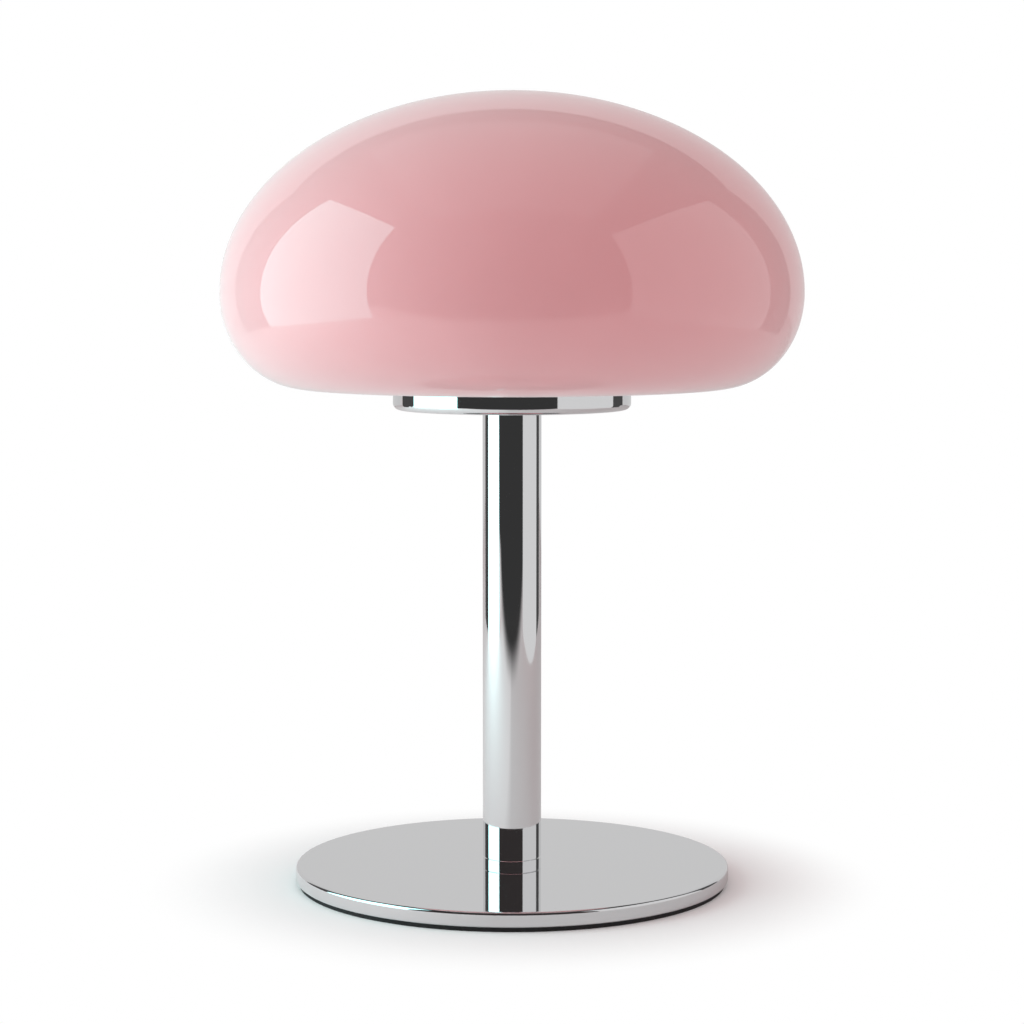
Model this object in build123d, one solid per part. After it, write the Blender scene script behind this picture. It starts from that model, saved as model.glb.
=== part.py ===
from build123d import *
import math
import os

# Mushroom table lamp: a blown glass shade on a chromed dish, stem and round base.
# Millimetres. The origin is the middle of the underside, +Z is up and the back is +Y.

# --- Base -------------------------------------------------------------------------------
base_diameter = 207.7
plate_thickness = 6.9
plate_edge_radius = 1.5          # rounded upper edge of the plate
plate_bottom_bevel = 0.4
pad_thickness = 2.3
pad_inset = 1.6                  # the pad stops this far inside the plate's edge
screw_diameter = 8.0             # countersunk screw that holds the stem to the plate
screw_head_diameter = 16.0
screw_head_land = 0.4            # straight rim of the head, above its cone
screw_reach = 9.0                # length of screw inside the foot plug
socket_across_flats = 5.0
socket_depth = 2.6

# --- Stem -------------------------------------------------------------------------------
stem_diameter = 28.0
stem_wall = 1.5
stem_length = 215.2
foot_flange_height = 3.0         # the ring seen between the stem and the plate
seam_bevel = 0.25                # bevels on each side of the seam above that ring
foot_plug_length = 16.0          # inside the tube
top_plug_length = 16.0
grommet_hole_diameter = 10.0
grommet_rise = 11.0              # from the connector's top to the hole's axis
grommet_bore = 6.2               # for a 6 mm mains cord
grommet_flange_diameter = 13.5
grommet_flange_thickness = 1.4
grommet_nose_length = 3.2        # beyond the outer flange
grommet_nose_diameter = 9.4
grommet_nose_rounding = 1.0

# --- Two-pole connector inside the stem, and the leads ------------------------------------
connector_width = 12.8
connector_depth = 12.0
connector_height = 9.0
pole_spacing = 7.2
barrel_diameter = 3.8
barrel_bore = 1.8
barrel_height = 4.2              # of the barrels' axis, above the connector's underside
barrel_end_gap = 0.8             # from each barrel's end to the body's face
clamp_screw_diameter = 2.2
clamp_screw_spacing = 6.0
clamp_screw_sunk = 0.6           # below the connector's top
fixing_screw_diameter = 2.5
fixing_head_diameter = 4.4
fixing_head_height = 1.5
fixing_screw_reach = 5.0         # into the foot plug
lead_diameter = 2.4
conductor_diameter = 1.2
lead_wall_gap = 0.4              # between a lead and the stem's bore
lead_rise = 60.0                 # straight run up the front of the bore
lead_pair_run = 20.0             # straight run of the pair below the nipple
lead_pair_spacing = 3.0          # of the two leads inside the nipple
lead_tail = 1.6                  # straight end below each terminal
lead_wide_bend = 30.0            # bends inside the tube
lead_tight_bend = 2.4            # bends at the connector and above the nipple
lead_tail_bend = 1.2
conductor_reach = 5.2            # of the bare end, past the middle of the connector

# --- Dish that carries the shade ----------------------------------------------------------
dish_diameter = 113.0
dish_height = 10.0
dish_wall = 1.2
dish_floor = 1.5
dish_corner_radius = 3.0
dish_rim_radius = 0.5
nipple_diameter = 10.0
nipple_bore = 7.8
nipple_reach = 13.0              # inside the top plug
washer_diameter = 24.0
washer_thickness = 1.0
nut_across_flats = 14.0
nut_height = 4.0
seal_thickness = 1.5
seal_width = 5.2

# --- Glass shade --------------------------------------------------------------------------
shade_diameter = 275.4
dome_rise = 94.5                 # from the widest line to the top
dome_side_turn = 36.35           # degrees that the arc beside the widest line turns
dome_shoulder_turn = 30.0        # degrees that the next arc turns; the crown turns the rest
dome_side_ease = 1.054           # side arc's radius, as a share of an ellipse's radius there
rim_drop = 44.7                  # from the widest line to the flat underside
rim_run = 39.1                   # from the widest line in to where the underside is flat
rim_side_turn = 45.0             # degrees that the arc below the widest line turns
shade_wall = 3.5
shade_gap = 0.4                  # between the dish's rim and the underside
neck_clearance = 1.7             # between the glass neck and the dish's wall
neck_bend = 1.6
lip_rounding = 1.2

# --- E27 lampholder -----------------------------------------------------------------------
cap_neck_diameter = 18.0
cap_neck_height = 5.0
cap_thread_length = 8.0
cap_diameter = 40.0
cap_shoulder_height = 18.0       # where the bowl becomes upright
cap_height = 22.0                # to the sleeve's seat
cap_spigot_height = 6.0
cap_spigot_wall = 1.3
insert_seat = 20.0               # ledge that carries the insert, above the cap's underside
insert_height = 10.0
ledge_width = 2.3
lock_screw_diameter = 3.0
lock_screw_head = 5.0
lock_screw_head_height = 1.2
terminal_offset = 9.5
terminal_width = 5.0
terminal_depth = 7.0
terminal_height = 6.0
terminal_tab_thickness = 0.8
terminal_screw_diameter = 2.6
terminal_screw_head = 4.4
terminal_screw_head_height = 1.3
rivet_diameter = 2.6
rivet_head_diameter = 3.6
rivet_head_height = 0.6
live_rivet_offset = 4.6
contact_width = 5.6
contact_thickness = 0.5
contact_rise = 1.5               # top of the sprung contact, above the insert
contact_tip = 3.0                # how far the contact reaches past the axis
shell_bore = 26.9                # for an E27 cap
shell_wall = 0.4
shell_height = 20.0
shell_floor_hole = 14.8
shell_rim_width = 1.2
sleeve_diameter = 41.0
sleeve_wall = 1.8
sleeve_height = 34.0
sleeve_lip = 2.0
sleeve_mouth = 31.0
sleeve_edge_radius = 1.0
sleeve_groove_depth = 0.5
sleeve_groove_width = 1.5
sleeve_groove_pitch = 3.0
sleeve_groove_count = 3

# --- Bulb: 45 mm globe with an E27 cap -----------------------------------------------------
bulb_length = 78.0
bulb_diameter = 45.0
bulb_cap_diameter = 26.2
bulb_cap_wall = 0.5
bulb_cap_end = 25.0              # top of the metal cap, above the tip
bulb_cap_start = 4.0
bulb_cap_taper = 3.0
bulb_cap_mouth = 20.4            # diameter of the cap's lower end
bulb_cap_lip = 1.0               # width of that end, on the insulator
tip_diameter = 9.0
tip_height = 1.4
tip_bevel = 0.7
insulator_neck = 11.0            # diameter of the insulator at the tip contact
housing_top = 44.0               # above the tip
housing_wall = 1.5
housing_spigot = 6.0             # reach of the housing inside the cap
diffuser_wall = 1.2
board_thickness = 1.6
board_ledge = 2.0
chip_size = 3.0
chip_height = 0.7
chip_count = 8
chip_circle = 20.0

# --- Clearances -----------------------------------------------------------------------------
press_gap = 0.03                 # radial, pressed and glued fits
thread_gap = 0.05                # radial, between mating threads
loose_gap = 0.15                 # radial, screws in clearance holes
cut_over = 1.0                   # how far a cutting tool passes through what it cuts

# --- Heights, from the table up ---------------------------------------------------------------
plate_bottom = pad_thickness
plate_top = plate_bottom + plate_thickness
tube_bottom = plate_top + foot_flange_height
tube_top = tube_bottom + stem_length
foot_plug_top = tube_bottom + foot_plug_length
connector_top = foot_plug_top + connector_height
grommet_height = connector_top + grommet_rise
barrel_axis = foot_plug_top + barrel_height
dish_bottom = tube_top
dish_floor_top = dish_bottom + dish_floor
dish_top = dish_bottom + dish_height
seal_top = dish_floor_top + seal_thickness
shade_underside = dish_top + shade_gap
shade_widest = shade_underside + rim_drop
shade_top = shade_widest + dome_rise
washer_top = dish_floor_top + washer_thickness
nut_top = washer_top + nut_height
cap_bottom = nut_top
nipple_bottom = tube_top - nipple_reach
nipple_top = cap_bottom + cap_thread_length
cap_seat = cap_bottom + cap_height
insert_bottom = cap_bottom + insert_seat
insert_top = insert_bottom + insert_height
bulb_tip = insert_top + contact_rise

# --- Radii that several pieces share -------------------------------------------------------------
stem_radius = stem_diameter / 2
stem_bore_radius = stem_radius - stem_wall
plug_radius = stem_bore_radius - press_gap
dish_radius = dish_diameter / 2
dish_bore_radius = dish_radius - dish_wall
neck_radius = dish_bore_radius - neck_clearance
shade_radius = shade_diameter / 2
nipple_radius = nipple_diameter / 2
shell_radius = shell_bore / 2 + shell_wall
cap_radius = cap_diameter / 2
cap_bore_radius = sleeve_diameter / 2 - sleeve_wall - thread_gap - cap_spigot_wall
barrel_length = connector_depth - 2 * barrel_end_gap
pole_x = pole_spacing / 2
bulb_radius = bulb_diameter / 2
globe_centre = bulb_tip + bulb_length - bulb_radius
housing_rim = bulb_tip + housing_top

# --- How boxes and cylinders are placed -------------------------------------------------------------
standing = (Align.CENTER, Align.CENTER, Align.MIN)
hanging = (Align.CENTER, Align.CENTER, Align.MAX)


def disc(radius, bottom, top):
    """A round plate or shaft on the lamp's axis."""
    return Pos(0, 0, bottom) * Cylinder(radius, top - bottom, align=standing)


def ring(outer, inner, bottom, top):
    """A washer or tube on the lamp's axis."""
    return disc(outer, bottom, top) - disc(inner, bottom - cut_over, top + cut_over)


def cross_rod(radius, start, end, direction):
    """A round rod from start to end, lying along direction, which is X or Y."""
    turn = Rot(0, 90, 0) if direction == "X" else Rot(-90, 0, 0)
    length = (Vector(*end) - Vector(*start)).length
    return Pos(*start) * turn * Cylinder(radius, length, align=standing)


def turned(outline):
    """A solid of revolution about the lamp's axis, from its outline in radius and height."""
    return revolve(Plane.XZ * make_face(outline), Axis.Z)


# --- Base -----------------------------------------------------------------------------------------
def base_pad():
    """Rubber disc glued under the plate."""
    return disc(base_diameter / 2 - pad_inset, 0, pad_thickness)


def countersunk_form(shank_gap):
    """Head and shank of the base screw; only the shank is larger by the gap, the head seats."""
    shank = screw_diameter / 2 + shank_gap
    head = screw_head_diameter / 2
    land = plate_bottom + screw_head_land
    tip = plate_top + screw_reach
    outline = Polyline((0, plate_bottom), (head, plate_bottom), (head, land),
                       (shank, land + head - shank), (shank, tip), (0, tip), close=True)
    return turned(outline)


def base_plate():
    """Turned steel disc with a rounded upper edge, countersunk underneath for its one screw."""
    plate = disc(base_diameter / 2, plate_bottom, plate_top)
    rim = plate.edges().filter_by(GeomType.CIRCLE)
    plate = fillet(rim.sort_by(Axis.Z)[-1], plate_edge_radius)
    bottom_rim = plate.edges().filter_by(GeomType.CIRCLE).sort_by(Axis.Z)[0]
    plate = chamfer(bottom_rim, plate_bottom_bevel)
    return plate - countersunk_form(loose_gap)


def base_screw():
    """Countersunk screw with a hexagon socket."""
    socket = extrude(RegularPolygon(socket_across_flats / 2, 6, major_radius=False), socket_depth)
    return countersunk_form(0) - Pos(0, 0, plate_bottom) * socket


# --- Stem -----------------------------------------------------------------------------------------
def stem_foot_plug():
    """Turned plug: its flange stands on the plate and carries the tube, its thread takes the screw."""
    flange = disc(stem_radius, plate_top, tube_bottom)
    flange = chamfer(flange.edges().filter_by(GeomType.CIRCLE).sort_by(Axis.Z)[-1], seam_bevel)
    plug = flange + disc(plug_radius, tube_bottom, foot_plug_top)
    screw_hole_top = plate_top + screw_reach + cut_over
    plug -= disc(screw_diameter / 2 + thread_gap, plate_top - cut_over, screw_hole_top)
    fixing_hole = fixing_screw_diameter / 2 + thread_gap
    return plug - disc(fixing_hole, foot_plug_top - fixing_screw_reach, foot_plug_top + cut_over)


def inlet_rod(diameter, reach):
    """A round rod along the cable inlet, from the lamp's axis out to the back."""
    return cross_rod(diameter / 2, (0, 0, grommet_height), (0, reach, grommet_height), "Y")


def stem_tube():
    """Chromed tube, bevelled at its foot, with the cable hole through its back wall."""
    tube = disc(stem_radius, tube_bottom, tube_top)
    tube = chamfer(tube.edges().filter_by(GeomType.CIRCLE).sort_by(Axis.Z)[0], seam_bevel)
    tube -= disc(stem_bore_radius, tube_bottom - cut_over, tube_top + cut_over)
    return tube - inlet_rod(grommet_hole_diameter, stem_diameter)


def cable_grommet():
    """Moulded bush: a saddle flange on each side of the tube's wall, and a nose around the cord."""
    nose_end = stem_radius + grommet_flange_thickness + grommet_nose_length
    waist_diameter = grommet_hole_diameter - 2 * press_gap
    wide = grommet_flange_diameter
    thick = grommet_flange_thickness

    def saddle(diameter, outer, inner):
        shell = ring(outer, inner, grommet_height - wide, grommet_height + wide)
        return shell & inlet_rod(diameter, outer)

    outer_flange = saddle(wide, stem_radius + thick, stem_radius)
    waist = saddle(waist_diameter, stem_radius + press_gap, stem_bore_radius - press_gap)
    inner_flange = saddle(wide, stem_bore_radius, stem_bore_radius - thick)
    nose = inlet_rod(grommet_nose_diameter, nose_end) - disc(stem_radius, 0, tube_top)
    nose = fillet(nose.edges().filter_by(GeomType.CIRCLE).sort_by(Axis.Y)[-1], grommet_nose_rounding)
    return outer_flange + waist + inner_flange + nose - inlet_rod(grommet_bore, nose_end + cut_over)


def stem_top_plug():
    """Threaded plug pressed into the top of the tube, for the nipple."""
    return ring(plug_radius, nipple_radius + thread_gap, tube_top - top_plug_length, tube_top)


# --- Connector and leads ---------------------------------------------------------------------------
def barrel_rod(x, radius, length):
    """A rod along a pole's barrel, centred on the connector."""
    return cross_rod(radius, (x, -length / 2, barrel_axis), (x, length / 2, barrel_axis), "Y")


def clamp_screws_at(x, radius, top):
    """The two clamp screws of one pole: their tips stop on the conductor."""
    tip = barrel_axis + conductor_diameter / 2
    places = [(x, side * clamp_screw_spacing / 2) for side in (-1, 1)]
    return [Pos(px, py, 0) * disc(radius, tip, top) for px, py in places]


def connector_body():
    """Moulded two-pole block that stands on the foot plug."""
    body = Box(connector_width, connector_depth, connector_height, align=standing)
    body = Pos(0, 0, foot_plug_top) * body
    tunnel_radius = barrel_diameter / 2 + press_gap
    well_radius = clamp_screw_diameter / 2 + loose_gap
    for x in (-pole_x, pole_x):
        body -= barrel_rod(x, tunnel_radius, connector_depth + cut_over)
        for well in clamp_screws_at(x, well_radius, connector_top + cut_over):
            body -= well
    body -= disc(fixing_screw_diameter / 2 + loose_gap, foot_plug_top - cut_over, connector_top)
    head_seat = connector_top - fixing_head_height
    return body - disc(fixing_head_diameter / 2 + loose_gap, head_seat, connector_top + cut_over)


def connector_barrels():
    """One brass tube a pole, drilled for its clamp screws."""
    def barrel(x):
        tube = barrel_rod(x, barrel_diameter / 2, barrel_length)
        tube -= barrel_rod(x, barrel_bore / 2, barrel_length + cut_over)
        for hole in clamp_screws_at(x, clamp_screw_diameter / 2 + thread_gap, connector_top):
            tube -= hole
        return tube
    return [barrel(-pole_x), barrel(pole_x)]


def connector_clamp_screws():
    """Four small screws, two a pole."""
    top = connector_top - clamp_screw_sunk
    radius = clamp_screw_diameter / 2
    return clamp_screws_at(-pole_x, radius, top) + clamp_screws_at(pole_x, radius, top)


def connector_fixing_screw():
    """Cheese-head screw through the middle of the connector into the foot plug."""
    head_seat = connector_top - fixing_head_height
    shank = disc(fixing_screw_diameter / 2, foot_plug_top - fixing_screw_reach, head_seat)
    return shank + disc(fixing_head_diameter / 2, head_seat, connector_top)


def lead(side):
    """Insulated lead from one pole, up the front of the bore and through the nipple to its terminal."""
    pole = side * pole_x
    pair_x = side * lead_pair_spacing / 2
    lane_radius = stem_bore_radius - lead_diameter / 2 - lead_wall_gap
    lane = -(lane_radius ** 2 - pole_x ** 2) ** 0.5
    connector_face = -connector_depth / 2
    terminal_bottom = insert_bottom - terminal_height
    spread_start = nipple_top + lead_diameter / 2
    route = [
        (pole, connector_face, barrel_axis),
        (pole, lane, barrel_axis),
        (pole, lane, barrel_axis + lead_rise),
        (pair_x, 0, nipple_bottom - lead_pair_run),
        (pair_x, 0, spread_start),
        (side * terminal_offset, 0, terminal_bottom - lead_tail),
        (side * terminal_offset, 0, terminal_bottom),
    ]
    bends = [lead_tight_bend, lead_wide_bend, lead_wide_bend, lead_tight_bend, lead_tail_bend]
    path = FilletPolyline(*route, radius=bends)
    insulation = sweep(Plane(path @ 0, z_dir=path % 0) * Circle(lead_diameter / 2), path=path)
    bottom_end = cross_rod(conductor_diameter / 2, (pole, connector_face, barrel_axis),
                           (pole, conductor_reach, barrel_axis), "Y")
    reach = terminal_bottom + terminal_height - terminal_tab_thickness
    top_end = Pos(side * terminal_offset, 0, 0) * disc(conductor_diameter / 2, terminal_bottom, reach)
    return insulation + bottom_end + top_end


# --- Dish and its fastening -------------------------------------------------------------------------
def shade_holder():
    """Chromed dish: a flat floor, a rounded corner and an upright wall that hides the glass neck."""
    hole = nipple_radius + loose_gap
    outer_corner = dish_corner_radius
    inner_corner = dish_corner_radius - dish_wall
    outer_turn = (dish_radius - outer_corner, dish_bottom + outer_corner)
    inner_turn = (dish_bore_radius - inner_corner, dish_floor_top + inner_corner)

    outline = Polyline((hole, dish_floor_top), (hole, dish_bottom), (outer_turn[0], dish_bottom))
    outline += CenterArc(outer_turn, outer_corner, 270, 90)
    outline += Polyline((dish_radius, outer_turn[1]), (dish_radius, dish_top),
                        (dish_bore_radius, dish_top), (dish_bore_radius, inner_turn[1]))
    outline += CenterArc(inner_turn, inner_corner, 0, -90)
    outline += Line((inner_turn[0], dish_floor_top), (hole, dish_floor_top))
    dish = turned(outline)
    top_edges = dish.edges().filter_by(GeomType.CIRCLE).sort_by(Axis.Z)[-2:]
    return fillet(top_edges, dish_rim_radius)


def threaded_nipple():
    """Hollow threaded tube that clamps the dish to the stem and carries the lampholder."""
    return ring(nipple_radius, nipple_bore / 2, nipple_bottom, nipple_top)


def holder_washer():
    """Plain washer on the dish's floor."""
    return ring(washer_diameter / 2, nipple_radius + loose_gap, dish_floor_top, washer_top)


def holder_nut():
    """Thin hexagon nut on the nipple."""
    hexagon = extrude(RegularPolygon(nut_across_flats / 2, 6, major_radius=False), nut_height)
    thread = disc(nipple_radius + thread_gap, washer_top - cut_over, nut_top + cut_over)
    return Pos(0, 0, washer_top) * hexagon - thread


def shade_seal():
    """Silicone ring on the dish's floor, under the lip of the glass."""
    outer = dish_radius - dish_corner_radius
    return ring(outer, outer - seal_width, dish_floor_top, seal_top)


# --- Glass shade -------------------------------------------------------------------------------------
def arc_pair(run, rise, start, split):
    """Radii of two tangent arcs that cover that run and rise while their normal turns from start,
    through split, to 90 degrees."""
    start_cos, start_sin = math.cos(math.radians(start)), math.sin(math.radians(start))
    split_cos, split_sin = math.cos(math.radians(split)), math.sin(math.radians(split))
    first_run, first_rise = start_cos - split_cos, split_sin - start_sin
    second_run, second_rise = split_cos, 1 - split_sin
    scale = first_run * second_rise - second_run * first_rise
    return [(run * second_rise - rise * second_run) / scale, (rise * first_run - run * first_rise) / scale]


def rounded_line(radii, turns, side, inset):
    """Tangent arcs from the widest line, upwards for side 1 and downwards for side -1, moved in by
    the inset about the same centres."""
    angle = 0
    end = Vector(shade_radius, shade_widest)
    line = None
    for radius, turn in zip(radii, turns):
        centre = end - Vector(radius, 0).rotate(Axis.Z, side * angle)
        arc = CenterArc(centre, radius - inset, side * angle, side * turn)
        line = arc if line is None else line + arc
        angle += turn
        end = centre + Vector(radius, 0).rotate(Axis.Z, side * angle)
    return line


def dome_line(inset):
    """Side, shoulder and crown arcs from the widest line up to the axis, close to a quarter ellipse."""
    side_radius = dome_side_ease * dome_rise ** 2 / shade_radius
    side_turn = math.radians(dome_side_turn)
    run_left = shade_radius - side_radius * (1 - math.cos(side_turn))
    rise_left = dome_rise - side_radius * math.sin(side_turn)
    split = dome_side_turn + dome_shoulder_turn
    radii = [side_radius] + arc_pair(run_left, rise_left, dome_side_turn, split)
    return rounded_line(radii, [dome_side_turn, dome_shoulder_turn, 90 - split], 1, inset)


def rim_line(inset):
    """Two arcs from the widest line down to the flat underside, close to a quarter ellipse."""
    radii = arc_pair(rim_run, rim_drop, 0, rim_side_turn)
    return rounded_line(radii, [rim_side_turn, 90 - rim_side_turn], -1, inset)


def glass_shade():
    """Blown shade of even wall: a dome, a rim that rolls under into a flat underside, and a neck
    turned down into the dish."""
    flat_radius = shade_radius - rim_run
    bend_centre = (neck_radius + neck_bend, shade_underside - neck_bend)
    neck_bore = neck_radius - shade_wall
    inside = shade_underside + shade_wall
    corner = seal_top + lip_rounding

    outline = dome_line(0) + rim_line(0)
    outline += Line((flat_radius, shade_underside), (bend_centre[0], shade_underside))
    outline += CenterArc(bend_centre, neck_bend, 90, 90)
    outline += Line((neck_radius, bend_centre[1]), (neck_radius, corner))
    outline += CenterArc((neck_radius - lip_rounding, corner), lip_rounding, 0, -90)
    outline += Line((neck_radius - lip_rounding, seal_top), (neck_bore + lip_rounding, seal_top))
    outline += CenterArc((neck_bore + lip_rounding, corner), lip_rounding, 270, -90)
    outline += Line((neck_bore, corner), (neck_bore, bend_centre[1]))
    outline += CenterArc(bend_centre, neck_bend + shade_wall, 180, -90)
    outline += Line((bend_centre[0], inside), (flat_radius, inside))
    outline += rim_line(shade_wall) + dome_line(shade_wall)
    outline += Line((0, shade_top - shade_wall), (0, shade_top))
    return turned(outline)


# --- Lampholder --------------------------------------------------------------------------------------
def lampholder_cap():
    """Moulded bowl that screws on the nipple and carries the insert on a ledge."""
    neck = cap_neck_diameter / 2
    spigot = sleeve_diameter / 2 - sleeve_wall - thread_gap
    shoulder = cap_bottom + cap_shoulder_height
    thread = nipple_radius + thread_gap
    cavity = cap_bore_radius - ledge_width
    cavity_floor = cap_bottom + cap_thread_length
    spigot_top = cap_seat + cap_spigot_height

    outline = Polyline((thread, cap_bottom), (neck, cap_bottom), (neck, cap_bottom + cap_neck_height))
    outline += EllipticalCenterArc((neck, shoulder), cap_radius - neck,
                                   cap_shoulder_height - cap_neck_height, 270, arc_size=90)
    outline += Polyline((cap_radius, shoulder), (cap_radius, cap_seat), (spigot, cap_seat),
                        (spigot, spigot_top), (cap_bore_radius, spigot_top),
                        (cap_bore_radius, insert_bottom), (cavity, insert_bottom), (cavity, shoulder))
    outline += EllipticalCenterArc((thread, shoulder), cavity - thread,
                                   shoulder - cavity_floor, 0, arc_size=-90)
    outline += Line((thread, cavity_floor), (thread, cap_bottom))
    height = cap_bottom + cap_neck_height / 2
    hole_radius = lock_screw_diameter / 2 + thread_gap
    return turned(outline) - cross_rod(hole_radius, (0, 0, height), (0, cap_radius, height), "Y")


def lampholder_lock_screw():
    """Small screw through the cap's neck that stops the lampholder turning on the nipple."""
    height = cap_bottom + cap_neck_height / 2
    neck = cap_neck_diameter / 2
    shank = cross_rod(lock_screw_diameter / 2, (0, nipple_radius, height), (0, neck, height), "Y")
    head = cross_rod(lock_screw_head / 2, (0, neck, height), (0, neck + lock_screw_head_height, height), "Y")
    return shank + head - disc(nipple_radius + press_gap, cap_bottom - cut_over, cap_seat)


def rivet_places():
    """Neutral rivet above its terminal, live rivet beside the middle."""
    return [terminal_offset, -live_rivet_offset]


def lampholder_insert():
    """Ceramic disc with two rivet holes."""
    insert = disc(cap_bore_radius - press_gap, insert_bottom, insert_top)
    hole = disc(rivet_diameter / 2 + press_gap, insert_bottom - cut_over, insert_top + cut_over)
    for x in rivet_places():
        insert -= Pos(x, 0, 0) * hole
    return insert


def lampholder_terminals():
    """Two brass blocks under the insert, each drilled for a lead and a screw; the live one has a tab."""
    bottom = insert_bottom - terminal_height
    wire_top = insert_bottom - terminal_tab_thickness
    wire_hole = disc(conductor_diameter / 2 + press_gap, bottom - cut_over, wire_top)
    screw_hole = terminal_screw_diameter / 2 + thread_gap
    height = bottom + terminal_height / 2
    blocks = []
    for side in (-1, 1):
        x = side * terminal_offset
        block = Box(terminal_width, terminal_depth, terminal_height, align=hanging)
        block = Pos(x, 0, insert_bottom) * block
        if side < 0:
            tab_end = live_rivet_offset - rivet_diameter
            tab_length = terminal_offset - tab_end
            tab = Box(tab_length, terminal_depth, terminal_tab_thickness, align=hanging)
            block += Pos(-tab_end - tab_length / 2, 0, insert_bottom) * tab
        block -= Pos(x, 0, 0) * wire_hole
        start, end = sorted([x + side * conductor_diameter / 2, x + side * terminal_width])
        block -= cross_rod(screw_hole, (start, 0, height), (end, 0, height), "X")
        blocks.append(block)
    return blocks


def lampholder_terminal_screws():
    """One screw from the outside of each terminal, its tip on the conductor."""
    height = insert_bottom - terminal_height / 2
    screws = []
    for side in (-1, 1):
        tip = side * (terminal_offset + conductor_diameter / 2 + press_gap)
        seat = side * (terminal_offset + terminal_width / 2)
        outer = seat + side * terminal_screw_head_height
        start, end = sorted([tip, seat])
        shank = cross_rod(terminal_screw_diameter / 2, (start, 0, height), (end, 0, height), "X")
        start, end = sorted([seat, outer])
        screws.append(shank + cross_rod(terminal_screw_head / 2, (start, 0, height), (end, 0, height), "X"))
    return screws


def lampholder_rivets():
    """Rivets that join the terminals to the screw shell and to the centre contact."""
    rivets = []
    for x, seat in zip(rivet_places(), (insert_top + shell_wall, insert_top + contact_thickness)):
        shank = disc(rivet_diameter / 2, insert_bottom, seat)
        rivets.append(Pos(x, 0, 0) * (shank + disc(rivet_head_diameter / 2, seat, seat + rivet_head_height)))
    return rivets


def lampholder_centre_contact():
    """Sprung strip, riveted beside the middle and lifted under the bulb's tip."""
    foot_end = -live_rivet_offset - rivet_head_diameter / 2
    foot_start = -live_rivet_offset + rivet_head_diameter / 2
    low, high = insert_top, insert_top + contact_rise
    step = foot_start + contact_rise
    outline = Polyline((foot_end, low), (foot_start, low), (step, high - contact_thickness),
                       (contact_tip, high - contact_thickness), (contact_tip, high), (step, high),
                       (foot_start, low + contact_thickness), (foot_end, low + contact_thickness), close=True)
    strip = extrude(Plane.XZ * make_face(outline), contact_width / 2, both=True)
    return strip - Pos(-live_rivet_offset, 0, 0) * disc(rivet_diameter / 2 + press_gap, low - cut_over, high)


def lampholder_screw_shell():
    """Brass cup that takes the bulb's cap, open in the middle for the contact."""
    top = insert_top + shell_height
    shell = ring(shell_radius, shell_bore / 2, insert_top, top)
    shell += ring(shell_radius, shell_floor_hole / 2, insert_top, insert_top + shell_wall)
    shell += ring(shell_radius + shell_rim_width, shell_bore / 2, top - shell_wall, top)
    rivet_hole = disc(rivet_diameter / 2 + press_gap, insert_top - cut_over, insert_top + cut_over)
    return shell - Pos(terminal_offset, 0, 0) * rivet_hole


def lampholder_sleeve():
    """Moulded skirt that screws over the cap and hides the shell, with grip grooves at its foot."""
    outer = sleeve_diameter / 2
    top = cap_seat + sleeve_height
    sleeve = disc(outer, cap_seat, top)
    sleeve = fillet(sleeve.edges().filter_by(GeomType.CIRCLE).sort_by(Axis.Z)[-1], sleeve_edge_radius)
    sleeve -= disc(outer - sleeve_wall, cap_seat - cut_over, top - sleeve_lip)
    sleeve -= disc(sleeve_mouth / 2, cap_seat, top + cut_over)
    for i in range(sleeve_groove_count):
        low = cap_seat + (i + 1) * sleeve_groove_pitch - sleeve_groove_width / 2
        sleeve -= ring(outer + cut_over, outer - sleeve_groove_depth, low, low + sleeve_groove_width)
    return sleeve


# --- Bulb --------------------------------------------------------------------------------------------
def bulb_tip_contact():
    """Solder button at the bulb's end."""
    button = disc(tip_diameter / 2, bulb_tip, bulb_tip + tip_height)
    return chamfer(button.edges().filter_by(GeomType.CIRCLE).sort_by(Axis.Z)[0], tip_bevel)


def bulb_insulator():
    """Black glass cone between the tip and the cap."""
    low, high = bulb_tip + tip_height, bulb_tip + bulb_cap_start
    mouth = bulb_cap_mouth / 2
    outline = Polyline((0, low), (insulator_neck / 2, low), (mouth, high), (0, high), close=True)
    return turned(outline)


def bulb_cap():
    """Thin metal cap: it tapers in below the thread and rests on the insulator."""
    low, high = bulb_tip + bulb_cap_start, bulb_tip + bulb_cap_end
    taper_top = low + bulb_cap_taper
    outer, mouth, wall = bulb_cap_diameter / 2, bulb_cap_mouth / 2, bulb_cap_wall
    outline = Polyline((mouth - bulb_cap_lip, low), (mouth, low), (outer, taper_top), (outer, high),
                       (outer - wall, high), (outer - wall, taper_top + wall), close=True)
    return turned(outline)


def housing_rim_radius():
    """The housing's rim lies on the globe, at the housing's top."""
    return (bulb_radius ** 2 - (globe_centre - housing_rim) ** 2) ** 0.5


def bulb_housing():
    """Moulded cone, with a spigot inside the cap and a ledge for the board."""
    cap_top = bulb_tip + bulb_cap_end
    spigot = bulb_cap_diameter / 2 - bulb_cap_wall - press_gap
    rim = housing_rim_radius()
    wall = housing_wall
    ledge = housing_rim - board_thickness
    outline = Polyline((spigot - wall, cap_top - housing_spigot), (spigot, cap_top - housing_spigot),
                       (spigot, cap_top), (bulb_cap_diameter / 2, cap_top), (rim, housing_rim),
                       (rim - wall, housing_rim), (rim - wall, ledge), (rim - wall - board_ledge, ledge),
                       (spigot - wall, cap_top + wall), close=True)
    return turned(outline)


def bulb_diffuser():
    """Frosted globe, open where it meets the housing."""
    outer = Pos(0, 0, globe_centre) * Sphere(bulb_radius)
    inner = Pos(0, 0, globe_centre) * Sphere(bulb_radius - diffuser_wall)
    return outer - inner - disc(bulb_diameter, bulb_tip, housing_rim)


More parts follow.
